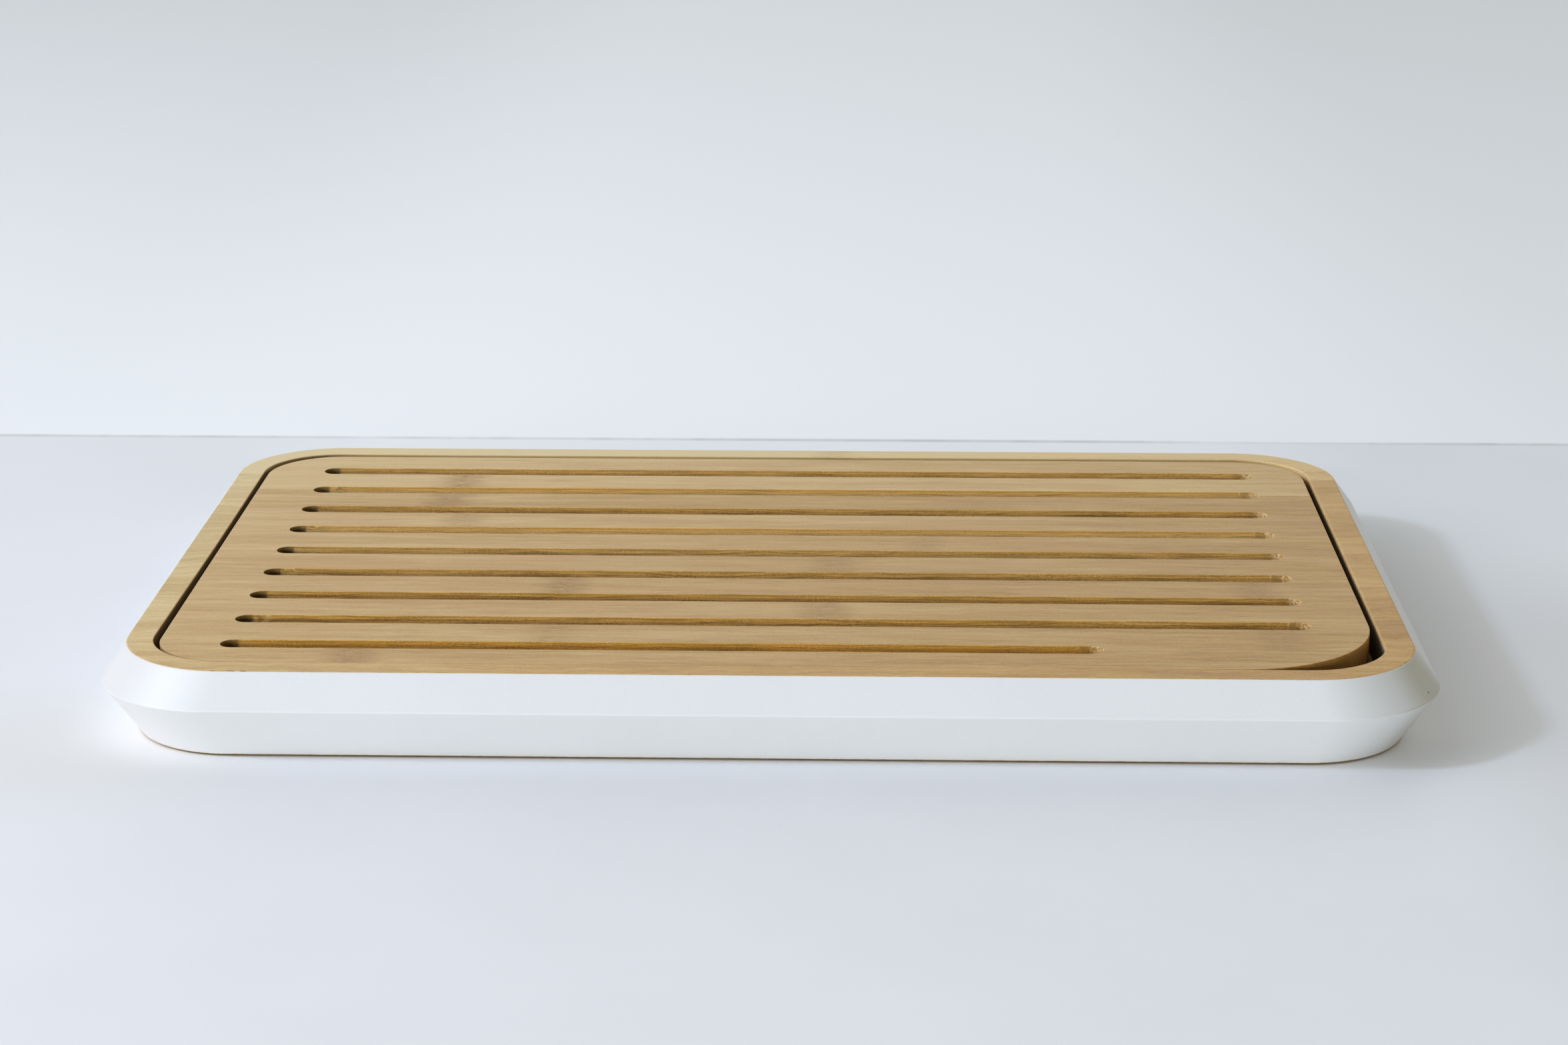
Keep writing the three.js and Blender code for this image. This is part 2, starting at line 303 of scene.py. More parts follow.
# Kinds of noise in the rim, the lacquer, the rubber and the worktop
CHIP = ((1.5, 1.5, 0.0), 2.0, 0.6)
RIM_TORN = ((0.9, 0.9, 1.2), 3.0, 0.7)
HATCH = ((1.4, 1.4, 0.25), 2.0, 0.6)
PEEL = ((0.9, 0.9, 0.9), 2.0, 0.5)
FINE = ((3.2, 3.2, 3.2), 2.0, 0.5)
CLOUD = ((0.02, 0.02, 0.02), 2.0, 0.5)
EDGE = ((0.35, 0.35, 0.0), 3.0, 0.7)
SPECKLE = ((1.6, 1.6, 1.6), 3.0, 0.6)
SCUFF = ((0.25, 0.25, 0.25), 2.0, 0.5)
MOTTLE = ((0.012, 0.012, 0.012), 3.0, 0.5)
BROKEN = ((0.03, 0.0, 0.0), 3.0, 0.7)
GRIT = ((1.2, 1.2, 1.2), 3.0, 0.6)

# Ramps: the value where each starts and ends, then what it gives there; places are in millimetres
ACROSS_BOARD = (-150.0, 150.0)
BROAD_SHIFT = (0.3, 0.7, -0.13, 0.13)
BAND_SHIFT = (0.25, 0.75, -0.13, 0.13)
STREAK_SHIFT = (0.25, 0.75, -0.15, 0.15)
FIBRE_SHIFT = (0.25, 0.75, -0.20, 0.20)
GRAIN_SHIFT = (0.25, 0.75, -0.15, 0.15)
# Painted light: the wood is made paler towards the left, the side the light comes from
LIT_SIDE_SHIFT = (-200.0, 200.0, 0.13, -0.06)
LINE_RAMP = (0.63, 0.75, 0.0, 0.34)
PINK_RAMP = (0.42, 0.62, 0.05, 0.8)
SMUDGE_RAMP = (0.32, 0.62, 0.05, 0.80)
DUSKY_RAMP = (0.36, 0.58, 0.04, 0.74)
PALE_FLECKS = (0.53, 0.66, 0.0, 0.42)
DARK_FLECKS = (0.48, 0.36, 0.0, 0.65)
WOOD_SHINE = (0.3, 0.7, 0.50, 0.64)
KNUCKLE_END = 0.8
CORE_REACH = (0.6, 4.6)
HALO_REACH = (2.0, 12.0)
ROSY_REACH = (3.0, 17.0)
KNUCKLE_DRIFT = 16.0
STRIP_SHIFT = 137.0
CRUMPLE_BEND = 9.0
HALO_FIBRES = 1.2
CHEVRON_LENGTH = 3.2
CHEVRON_SLANT = 1.2
# Shares of a noise in the relief
FIBRE_RELIEF_SHARE = 0.6
STREAK_RELIEF_SHARE = 0.5
FLECK_RELIEF_SHARE = 0.8
LAYER_RELIEF_SHARE = 0.8
FINE_RELIEF_SHARE = 0.3
# Taken from a count of equal steps, so that a share of 1 still falls in the last
LAST_STEP = 0.001

# Ramps of the slot walls
MEANDER_DEPTH = 5.0
RUFFLE_DEPTH = 3.0
RUFFLE_FLOOR = 0.12
COARSE_RAMP = (0.40, 0.62, 0.35, 1.0)
ORANGE_DRIFT = (0.35, 0.65, 0.0, 0.25)
LOW_DOWN = (BOARD_TOP_Z - 0.3, BOARD_TOP_Z - 1.6)
DARK_LAYERS = (0.44, 0.62)
PALE_LAYERS = (0.42, 0.30, 0.0, 0.45)
DARK_LINES = (0.54, 0.64, 0.0, 0.55)
PALE_CRUMBS = (0.51, 0.62, 0.0, 0.70)
DARK_CRUMBS = (0.46, 0.36, 0.0, 0.60)
PALE_TICKS = (0.54, 0.66, 0.0, 0.25)
BRIGHT_SPECKS = (0.66, 0.70, 0.0, 0.7)
EDGE_LINE_START = (BOARD_TOP_Z - 0.75, BOARD_TOP_Z - 0.45, 0.0, 0.5)
EDGE_LINE_END = (BOARD_TOP_Z - 0.05, BOARD_TOP_Z - 0.25)
ROUGH_ZONE = (8.0, 4.0, 0.0, 0.45)
TIP_ZONE = (5.5, 1.8, 0.0, 0.8)
TORN_RAMP = (0.42, 0.56)
END_DEPTH = (BOARD_TOP_Z - 0.2, BOARD_TOP_Z - 1.6, 0.62, 0.92)
END_ZONE = (5.4, 3.9)
LEFT_ZONE_START = (5.0, 6.5)
LEFT_ZONE_END = (13.0, 8.0)
ODD_LUMPS_SHARE = 0.7
LUMPS_SHARE = 0.2
PALE_LUMPS = (0.49, 0.55, 0.0, 0.75)
DARK_LUMPS = (0.46, 0.42, 0.0, 0.6)
NICK_RAMP = (0.15, 0.45, 0.45, 0.0)
LIFT_RAMP = (BOARD_TOP_Z - 3.0, BOARD_TOP_Z - 0.8, 1.0, 0.0)
OUTER_X = 176.0
SIDE_LAYERS = (0.42, 0.62, 0.0, 0.30)
JOINT_END = (140.0, 125.0)
ARRIS_RAMP = (BOARD_TOP_Z - 0.12, BOARD_TOP_Z - 0.05, 0.0, 0.8)
CORNER_Y = (-96.0, -110.0, 0.0, 0.8)
CORNER_X = (-160.0, -182.0)

# Ramps of the rim
PALE_LEFT = (-200.0, 200.0, 0.85, -0.45)
PALE_REAR = (-130.0, 130.0, -0.25, 0.75)
CHIP_RAMP = (0.5, 0.9, 0.85, 0.0)
RAGGED_SHARE = 0.5
# Torn fibres on the right inner wall, made pale there partly as painted light
TORN_AND_LIT_RIGHT = (110.0, 170.0)
RIM_TORN_RAMP = (0.42, 0.56, 0.1, 0.8)
BELOW_RIM = (RIM_Z - 0.25, RIM_Z - 0.45)
SIDE_DEPTH = (-150.0, 150.0, 0.3, 2.4)
REAR_DEPTH = (-160.0, -100.0, 1.6, 2.6)
AT_REAR = (97.0, 108.0)
LIT_EDGE = 0.2
TURNING = (-186.0, -150.0)
HATCH_RAMP = (0.35, 0.65)
REAR_FADE = (-150.0, -120.0, 0.9, 0.35)
SUNK_RAMP = (0.4, 1.3, 0.0, 0.93)

# Ramps of the lacquer
CLOUD_RAMP = (0.35, 0.65)
FACING_LEFT = (-0.10, -0.66)
FACING_RIGHT = (0.70, 0.90)
FACING_CORNER = (0.48, 0.68)
ALONG_SIDE = (-110.0, -90.0)
ROUND_CORNER = (-99.0, -110.0)
LOW_CORNER_LOSS_SHARE = 0.7
TOP_LINE = (0.3, 0.7, RIM_Z - 0.17, RIM_Z - 0.12)
BASE_LINE = (0.3, 0.7, BASE_Z + 0.45, BASE_Z + 0.2)
SPECK_RAMP = (0.45, 0.85, 0.75, 0.0)
LACQUER_SHINE = (0.0, 1.0, 0.42, 0.55)

# Ramps of the rubber and the worktop
SCUFF_RAMP = (0.4, 0.7)
RUBBER_SHINE = (0.3, 0.7, 0.65, 0.85)
FAR_RIGHT_X = (195.0, 280.0)
FAR_RIGHT_Y = (120.0, -20.0)
GLOW_REACH = (15.0, 75.0, 1.0, 0.0)
BEYOND_SEAM = (SEAM_Y - 0.5, SEAM_Y + 1.5)
SEAM_STRENGTH = (0.35, 0.65, 0.12, 0.38)
STRONG_X = 50.0
STRONG_SEAM = (60.0, 130.0, 0.20, 0.0)
WEAK_X = 205.0
WEAK_SEAM = (15.0, 60.0, -0.22, 0.0)
LEFT_SEAM = (-250.0, -330.0, 0.1, 0.32)
SEAM_WIDTH = (0.3, 3.6, 1.0, 0.0)
WALL_GLOW_REACH = (120.0, 380.0, 0.066, 0.0)
NEAR_WALL_Y = (205.0, 228.0)
NEAR_WALL_X = (240.0, 170.0)
NEAR_WALL_GLOW = 0.085


class Graph:
    """The node tree of a material or of the room, with short calls for its nodes."""

    def __init__(self, owner):
        self.owner = owner
        owner.use_nodes = True
        self.tree = owner.node_tree

    def node(self, kind, **settings):
        made = self.tree.nodes.new(kind)
        for key, value in settings.items():
            setattr(made, key, value)
        return made

    def put(self, socket, value):
        if isinstance(value, bpy.types.NodeSocket):
            self.tree.links.new(value, socket)
        else:
            socket.default_value = value

    def math(self, operation, *values, clamp=False):
        made = self.node("ShaderNodeMath", operation=operation, use_clamp=clamp)
        for socket, value in zip(made.inputs, values):
            self.put(socket, value)
        return made.outputs[0]

    def times(self, first, second, clamp=False):
        return self.math("MULTIPLY", first, second, clamp=clamp)

    def plus(self, first, second, clamp=False):
        return self.math("ADD", first, second, clamp=clamp)

    def minus(self, first, second):
        return self.math("SUBTRACT", first, second)

    def scaled(self, value, factor, offset):
        return self.math("MULTIPLY_ADD", value, factor, offset)

    def swing(self, value, width):
        """Turns 0 to 1 into minus half the width to plus half of it."""
        return self.scaled(value, width, -width / 2)

    def off(self, value, centre):
        """How far a value lies from a centre, on either side."""
        return self.math("ABSOLUTE", self.minus(value, centre))

    def larger(self, first, *others):
        for other in others:
            first = self.math("MAXIMUM", first, other)
        return first

    def vector(self, operation, first, second, output=0):
        made = self.node("ShaderNodeVectorMath", operation=operation)
        self.put(made.inputs[0], first)
        self.put(made.inputs[1], second)
        return made.outputs[output]

    def distance(self, first, second):
        return self.vector("DISTANCE", first, second, "Value")

    def split(self, vector):
        made = self.node("ShaderNodeSeparateXYZ")
        self.put(made.inputs[0], vector)
        return made.outputs

    def join(self, x, y, z):
        made = self.node("ShaderNodeCombineXYZ")
        for socket, value in zip(made.inputs, (x, y, z)):
            self.put(socket, value)
        return made.outputs[0]

    def ramp(self, value, low, high, out_low=0.0, out_high=1.0, interpolation="LINEAR"):
        """A straight ramp that is held past both ends."""
        made = self.node("ShaderNodeMapRange", clamp=True, interpolation_type=interpolation)
        for socket, entry in zip(made.inputs, (value, low, high, out_low, out_high)):
            self.put(socket, entry)
        return made.outputs[0]

    def eased(self, value, *ends):
        """A ramp with soft ends."""
        if len(ends) == 2:
            ends = (*ends, 0.0, 1.0)
        return self.ramp(value, *ends, "SMOOTHSTEP")

    def mix(self, share, first, second, blend="MIX"):
        made = self.node("ShaderNodeMix", data_type="RGBA", blend_type=blend)
        self.put(made.inputs["Factor"], share)
        self.put(made.inputs["A"], first)
        self.put(made.inputs["B"], second)
        return made.outputs["Result"]

    def layered(self, colour, *marks):
        """Lays colours over a colour, each by its share."""
        for share, mark in marks:
            colour = self.mix(share, colour, mark)
        return colour

    def tinted(self, colour, tint, share=1.0):
        return self.mix(share, colour, tint, "MULTIPLY")

    def noise(self, vector, kind):
        stretch, detail, roughness, distortion = (*kind, 0.0)[:4]
        made = self.node("ShaderNodeTexNoise")
        self.put(made.inputs["Vector"], self.vector("MULTIPLY", vector, stretch))
        self.put(made.inputs["Scale"], 1.0)
        self.put(made.inputs["Detail"], detail)
        self.put(made.inputs["Roughness"], roughness)
        self.put(made.inputs["Distortion"], distortion)
        return made.outputs[0]

    def steps(self, value, entries):
        """A colour that changes in equal steps as the value goes from 0 to 1."""
        made = self.node("ShaderNodeValToRGB")
        ramp = made.color_ramp
        ramp.interpolation = "CONSTANT"
        while len(ramp.elements) < len(entries):
            ramp.elements.new(1.0)
        for place, entry in enumerate(entries):
            ramp.elements[place].position = place / len(entries)
            ramp.elements[place].color = (*entry, 1.0)
        self.put(made.inputs[0], value)
        return made.outputs[0]

    def place(self):
        """Object coordinates in millimetres."""
        coordinates = self.node("ShaderNodeTexCoord")
        return self.vector("MULTIPLY", coordinates.outputs["Object"], [1 / MM] * 3)

    def finished(self, colour, roughness, height, relief):
        """Links the colour, the roughness and the relief, and gives the material."""
        self.put(self.shader.inputs["Base Color"], colour)
        self.put(self.shader.inputs["Roughness"], roughness)
        made = self.node("ShaderNodeBump")
        made.inputs["Distance"].default_value = relief * MM
        self.put(made.inputs["Height"], height)
        self.tree.links.new(made.outputs[0], self.shader.inputs["Normal"])
        return self.owner


def material_graph(name):
    net = Graph(bpy.data.materials.new(name))
    net.tree.nodes.clear()
    output = net.node("ShaderNodeOutputMaterial")
    net.shader = net.node("ShaderNodeBsdfPrincipled")
    net.tree.links.new(net.shader.outputs[0], output.inputs["Surface"])
    return net


def knuckle_marks(net, x, y, knuckles):
    """Masks for the knuckles: the crumpled core, the soft halo and the rosy smudge."""
    sums = [None, None, None]
    for centre, low, high, strength, pinkness in knuckles:
        inside = net.times(net.ramp(y, low, low + KNUCKLE_END), net.ramp(y, high, high - KNUCKLE_END))
        drift = net.swing(net.noise(net.join(x, y, centre), KNUCKLE), KNUCKLE_DRIFT)
        far = net.math("ABSOLUTE", net.plus(net.minus(x, centre), drift))
        reaches = ((CORE_REACH, strength), (HALO_REACH, strength), (ROSY_REACH, pinkness))
        parts = [net.times(net.eased(far, *reach, most, 0.0), inside) for reach, most in reaches]
        sums = [part if total is None else net.plus(total, part) for total, part in zip(sums, parts)]
    return sums


def bamboo(net, knuckles, tones, tone_start, tone_end, grain):
    """Gives the colour, the height and the roughness of bamboo strips whose fibres run along x, made paler
    towards the left as painted light.
    """
    seed, sway, ripple, contrast = grain
    place = net.place()
    x, y, z = net.split(place)
    tone_share = net.ramp(y, tone_start, tone_end)
    left_tone, pinkness, right_tone = net.split(net.steps(tone_share, tones))
    strip = net.math("FLOOR", net.times(tone_share, len(tones) - LAST_STEP))
    core, halo, rosy = knuckle_marks(net, x, y, knuckles)

    seeded = net.join(x, y, seed)
    bent = net.plus(y, net.swing(net.noise(seeded, SWAY), 2 * sway))
    bent = net.plus(bent, net.swing(net.noise(seeded, RIPPLE), 4 * ripple))
    crumple = net.swing(net.noise(seeded, CRUMPLE), CRUMPLE_BEND)
    bent = net.plus(bent, net.times(crumple, halo))
    shifted = net.join(net.scaled(strip, STRIP_SHIFT, x), bent, net.plus(z, seed))
    chevron = net.math("PINGPONG", y, CHEVRON_LENGTH)
    flecks = net.noise(net.join(net.scaled(chevron, CHEVRON_SLANT, x), bent, seed), FLECK)
    bands = net.noise(shifted, BAND)
    streaks = net.noise(shifted, STREAK)
    fibres = net.noise(shifted, FIBRE)

    tone = net.ramp(x, *ACROSS_BOARD, left_tone, right_tone)
    shifts = ((net.noise(shifted, BROAD), BROAD_SHIFT), (bands, BAND_SHIFT), (streaks, STREAK_SHIFT))
    for source, shift in shifts:
        tone = net.plus(tone, net.times(net.ramp(source, *shift), contrast))
    fibre_tone = net.times(net.ramp(fibres, *FIBRE_SHIFT), net.scaled(halo, HALO_FIBRES, 1.0))
    tone = net.plus(tone, fibre_tone)
    tone = net.plus(tone, net.ramp(net.noise(shifted, GRAIN), *GRAIN_SHIFT))
    # Painted light: paler towards the left, where the light falls
    tone = net.plus(tone, net.ramp(x, *LIT_SIDE_SHIFT), clamp=True)
    pinkish = net.times(net.eased(net.noise(shifted, PATCH), *PINK_RAMP), pinkness)
    smudge = net.times(net.ramp(bands, *SMUDGE_RAMP), rosy)
    colour = net.layered(
        DARK_FIBRE,
        (net.ramp(tone, 0.0, 0.5), MID_FIBRE),
        (net.ramp(tone, 0.5, 1.0), LIGHT_FIBRE),
        (net.times(net.eased(fibres, *LINE_RAMP), contrast), DARK_FIBRE),
        (net.larger(pinkish, smudge), PINK_TINT),
        (net.times(net.ramp(fibres, *DUSKY_RAMP), halo, clamp=True), KNUCKLE_DARK),
        (net.times(net.eased(flecks, *PALE_FLECKS), core), KNUCKLE_LIGHT),
        (net.times(net.eased(flecks, *DARK_FLECKS), core), KNUCKLE_DARK),
    )

    height = net.scaled(fibres, FIBRE_RELIEF_SHARE, net.times(streaks, STREAK_RELIEF_SHARE))
    height = net.plus(height, net.times(net.times(flecks, core), FLECK_RELIEF_SHARE))
    net.shader.inputs["Specular IOR Level"].default_value = WOOD_SPECULAR
    return {
        "colour": colour, "height": height, "roughness": net.ramp(fibres, *WOOD_SHINE),
        "place": place, "x": x, "y": y, "z": z, "halo": halo,
    }


def board_bamboo(net):
    start = SLOT_FIRST_Y - SLOT_PITCH
    end = start + SLOT_PITCH * len(STAVE_TONES)
    return bamboo(net, BOARD_KNUCKLES, STAVE_TONES, start, end, BOARD_GRAIN)


def board_top_material():
    net = material_graph("bamboo_board_top")
    wood = board_bamboo(net)
    return net.finished(wood["colour"], wood["roughness"], wood["height"], WOOD_RELIEF)


def slot_wall_colour(net, wood, wall, toned, layers, crumbs):
    """The cut wall: golden to orange, with layers, lines, crumbs and ticks of lighter and darker wood, and
    paler low down as painted light.
    """
    x, z = wood["x"], wood["z"]
    orange, darkness, painted_low_light = toned
    lines = net.noise(layers["place"], LINE)
    ticks = net.noise(wood["place"], TICK)
    drift = net.noise(net.join(x, wall, 1.0), DRIFT)
    coarse = net.ramp(drift, *COARSE_RAMP)
    return net.layered(
        BROWN_WALL,
        (orange, ORANGE_WALL),
        (net.ramp(drift, *ORANGE_DRIFT), ORANGE_WALL),
        # Painted light: paler low down, where the slot's shade falls
        (net.times(net.ramp(z, *LOW_DOWN), painted_low_light), PALE_WALL),
        (net.times(net.eased(layers["noise"], *DARK_LAYERS), darkness), DARK_WALL),
        (net.eased(layers["noise"], *PALE_LAYERS), LIGHT_WALL),
        (net.eased(lines, *DARK_LINES), DARK_WALL),
        (net.times(net.ramp(crumbs, *PALE_CRUMBS), coarse), LIGHT_WALL),
        (net.times(net.ramp(crumbs, *DARK_CRUMBS), coarse), DARK_WALL),
        (net.times(net.ramp(ticks, *PALE_TICKS), coarse), LIGHT_WALL),
        (net.eased(crumbs, *BRIGHT_SPECKS), TORN_LIGHT),
        (net.times(net.eased(z, *EDGE_LINE_START), net.eased(z, *EDGE_LINE_END)), EDGE_ORANGE),
    )


def slot_end_colour(net, wood, wall, front_slot, golden):
    """The slot ends: torn and pale at the right, painted dark at the left as shade, with lumps of torn fibre
    beside it; the lower wall is then made lighter as painted light.
    """
    x, z = wood["x"], wood["z"]
    right_tip = net.scaled(front_slot, FRONT_SLOT_RIGHT - SLOT_RIGHT, SLOT_RIGHT)
    from_right = net.minus(right_tip, x)
    from_left = net.minus(x, net.scaled(wall, SLOT_LEFT_STEP, SLOT_LEFT))
    odd_slot = net.math("GREATER_THAN", net.math("MODULO", wall, 2.0), 0.5)
    torn = net.noise(wood["place"], TORN)
    lumps = net.noise(wood["place"], LUMP)
    left_zone = net.times(net.eased(from_left, *LEFT_ZONE_START), net.eased(from_left, *LEFT_ZONE_END))
    left_zone = net.times(left_zone, net.scaled(odd_slot, ODD_LUMPS_SHARE, LUMPS_SHARE))
    off_nick = net.off(from_right, NICK_FROM_TIP)
    golden = net.layered(
        golden,
        (net.eased(from_right, *ROUGH_ZONE), DARK_WALL),
        (net.times(net.ramp(torn, *TORN_RAMP), net.eased(from_right, *TIP_ZONE)), TORN_LIGHT),
        # Painted shade: the left end of each slot, which faces away from the light, darker further down
        (net.times(net.eased(from_left, *END_ZONE), net.ramp(z, *END_DEPTH)), LEFT_END_SHADE),
        (net.times(net.ramp(lumps, *PALE_LUMPS), left_zone), LIGHT_WALL),
        (net.times(net.ramp(lumps, *DARK_LUMPS), left_zone), DARK_WALL),
        (net.times(net.eased(off_nick, *NICK_RAMP), odd_slot), TORN_LIGHT),
    )
    # Painted light: the lower wall lifted brighter against its shade
    return net.tinted(golden, LOW_WALL_LIGHT_LIFT, net.ramp(z, *LIFT_RAMP))


def milled_material():
    """What the cutter left: golden, lined and grainy in the slots, and plainer round the outside, with a
    painted highlight on the outer arris and the front wall and painted shade at the front left corner.
    """
    net = material_graph("bamboo_milled")
    wood = board_bamboo(net)
    x, y, z = wood["x"], wood["y"], wood["z"]
    wall_start = SLOT_FIRST_Y - SLOT_PITCH / 2
    wall_share = net.ramp(y, wall_start, wall_start + SLOT_PITCH * SLOT_COUNT)
    toned = net.split(net.steps(wall_share, WALL_TONES))
    wall = net.math("FLOOR", net.times(wall_share, SLOT_COUNT - LAST_STEP))
    along_wall = net.join(x, wall, 1.0)
    level = net.plus(z, net.swing(net.noise(along_wall, MEANDER), MEANDER_DEPTH))
    ruffle = net.swing(net.noise(along_wall, RUFFLE), RUFFLE_DEPTH)
    level = net.plus(level, net.times(ruffle, net.plus(wood["halo"], RUFFLE_FLOOR)))
    layer_place = net.join(x, wall, level)
    layers = {"place": layer_place, "noise": net.noise(layer_place, LAYER)}
    crumbs = net.noise(wood["place"], CRUMB)
    front_slot = net.math("LESS_THAN", y, SLOT_FIRST_Y + SLOT_PITCH / 2)
    golden = slot_wall_colour(net, wood, wall, toned, layers, crumbs)
    golden = slot_end_colour(net, wood, wall, front_slot, golden)

    rear_slot_y = SLOT_FIRST_Y + SLOT_PITCH * (SLOT_COUNT - 1)
    before = net.math("LESS_THAN", y, SLOT_FIRST_Y - SLOT_WIDTH)
    outside = net.larger(
        net.math("GREATER_THAN", net.math("ABSOLUTE", x), OUTER_X),
        before,
        net.math("GREATER_THAN", y, rear_slot_y + SLOT_WIDTH),
        net.times(front_slot, net.math("GREATER_THAN", x, FRONT_SLOT_RIGHT + SLOT_WIDTH)),
        net.math("LESS_THAN", x, SLOT_LEFT - SLOT_SPARE),
    )
    plain = net.layered(
        net.tinted(wood["colour"], SIDE_DARKER),
        (net.eased(layers["noise"], *SIDE_LAYERS), DARK_WALL),
        # Painted light on the board's front wall, left of the finger corner
        (net.times(before, net.ramp(x, *JOINT_END)), ARRIS_HIGHLIGHT),
    )
    # Painted highlight along the outer arris, except at the front
    arris = net.times(net.eased(z, *ARRIS_RAMP), outside)
    # Painted shade at the board's front left corner
    shaded_corner = net.times(net.eased(y, *CORNER_Y), net.ramp(x, *CORNER_X))
    colour = net.layered(
        golden,
        (outside, plain),
        (arris, net.mix(before, ARRIS_HIGHLIGHT, wood["colour"])),
        (shaded_corner, CORNER_SHADE),
    )
    gouges = net.plus(crumbs, net.times(layers["noise"], LAYER_RELIEF_SHARE))
    height = net.mix(outside, gouges, wood["height"])
    return net.finished(colour, MILLED_ROUGHNESS, height, MILLED_RELIEF)


def rim_bamboo(net):
    """The rim's bamboo, painted paler towards the rear and the left as painted sheen and light, with nicks
    in its front edge.
    """
    wood = bamboo(net, RIM_KNUCKLES, RIM_TONES, -RIM_HALF[1], RIM_HALF[1], RIM_GRAIN)
    # Painted sheen and light: the rim paler towards the rear and the left
    pale = net.plus(net.ramp(wood["x"], *PALE_LEFT), net.ramp(wood["y"], *PALE_REAR))
    colour = net.tinted(wood["colour"], net.mix(pale, RIM_GOLDEN, RIM_SHEEN_TINT))
    chips = net.noise(wood["place"], CHIP)
    chip_place = net.vector("MULTIPLY", wood["place"], CHIP_STRETCH)
    start, end, most, least = CHIP_RAMP
    for chip_x, size in EDGE_CHIPS:
        off_chip = net.distance(chip_place, (CHIP_STRETCH[0] * chip_x, CHIP_Y, 0.0))
        ragged = net.scaled(chips, RAGGED_SHARE, off_chip)
        chipped = net.eased(ragged, start + size, end + size, most, least)
        colour = net.mix(chipped, colour, KNUCKLE_DARK)
    wood["colour"] = colour
    return wood


def rim_material():
    """The bare wood of the frame: torn and painted paler at the right inner edge, with painted light and
    shade on its inner walls, dark to golden along the rear and darkening below the rim.
    """
    net = material_graph("bamboo_rim")
    wood = rim_bamboo(net)
    x, y, z = wood["x"], wood["y"], wood["z"]
    below = net.ramp(z, *BELOW_RIM)
    torn = net.ramp(net.noise(wood["place"], RIM_TORN), *RIM_TORN_RAMP)
    # Torn fibres, painted pale on the right inner wall only: partly torn wood, partly painted light on the
    # lit side
    torn_and_lit_share = net.times(net.times(net.ramp(x, *TORN_AND_LIT_RIGHT), torn), below)
    colour = net.mix(torn_and_lit_share, wood["colour"], TORN_LIGHT)
    # Painted shade: the inner walls darken below a lit depth, shallow on the left, greater on the right and
    # at the rear
    at_rear = net.ramp(y, *AT_REAR)
    side_depth = net.ramp(x, *SIDE_DEPTH)
    more_depth = net.minus(net.ramp(x, *REAR_DEPTH), side_depth)
    lit_depth = net.plus(side_depth, net.times(at_rear, more_depth))
    sunk = net.math("DIVIDE", net.minus(RIM_Z - LIT_EDGE, z), lit_depth)
    turning = net.eased(x, *TURNING)
    hatch = net.ramp(net.noise(wood["place"], HATCH), *HATCH_RAMP)
    # Painted light and shade on the rear inner wall: dark and hatched at the left, golden towards the right
    rear_shade = net.mix(turning, net.mix(hatch, REAR_SHADE_DARK, REAR_SHADE_BROWN), REAR_LIT_GOLDEN)
    rear_share = net.times(net.times(at_rear, below), net.eased(x, *REAR_FADE))
    colour = net.mix(rear_share, colour, rear_shade)
    # Painted shade below the lit depth, warm orange along the rear except at its left end
    deep_shade = net.mix(at_rear, INNER_SHADE, net.mix(turning, INNER_SHADE, EDGE_ORANGE))
    colour = net.mix(net.eased(sunk, *SUNK_RAMP), colour, deep_shade)
    return net.finished(colour, wood["roughness"], wood["height"], WOOD_RELIEF)


def inside_material():
    net = material_graph("bamboo_inside")
    wood = bamboo(net, RIM_KNUCKLES[:1], RIM_TONES, -RIM_HALF[1], RIM_HALF[1], INSIDE_GRAIN)
    colour = net.tinted(wood["colour"], INSIDE_DARKER)
    return net.finished(colour, wood["roughness"], wood["height"], WOOD_RELIEF)


def lacquer_material():
    """White lacquer with a faint orange peel and painted light and shade on its flanks, ending raggedly on
    bare wood at the rim and the base.
    """
    net = material_graph("white_lacquer")
    wood = rim_bamboo(net)
    place, y, z = wood["place"], wood["y"], wood["z"]
    fine = net.noise(place, FINE)
    cloud = net.ramp(net.noise(place, CLOUD), *CLOUD_RAMP)
    facing = net.split(net.node("ShaderNodeTexCoord").outputs["Normal"])[0]
    below = net.math("LESS_THAN", z, WIDEST_Z)
    # Painted shade at the front right corner, less below the widest line
    corner = net.times(net.eased(facing, *FACING_CORNER), net.ramp(y, *ROUND_CORNER))
    speck = net.scaled(fine, RAGGED_SHARE, net.distance(place, SPECK_PLACE))
    edge = net.noise(place, EDGE)
    bare_top = net.math("GREATER_THAN", z, net.ramp(edge, *TOP_LINE))
    bare = net.larger(bare_top, net.math("LESS_THAN", z, net.ramp(edge, *BASE_LINE)))
    colour = net.layered(
        net.mix(cloud, *LACQUER_CLOUDS),
        # Painted shade facing left, painted light facing right
        (net.eased(facing, *FACING_LEFT), net.mix(below, LACQUER_LEFT_SHADE, LACQUER_LOW_LEFT_SHADE)),
        (net.times(net.eased(facing, *FACING_RIGHT), net.ramp(y, *ALONG_SIDE)), LACQUER_RIGHT_LIT),
        (net.times(corner, net.scaled(below, -LOW_CORNER_LOSS_SHARE, 1.0)), LACQUER_CORNER_SHADE),
        (net.eased(speck, *SPECK_RAMP), SPECK_DARK),
        (bare, wood["colour"]),
    )
    height = net.scaled(fine, FINE_RELIEF_SHARE, net.noise(place, PEEL))
    return net.finished(colour, net.ramp(bare, *LACQUER_SHINE), height, LACQUER_RELIEF)


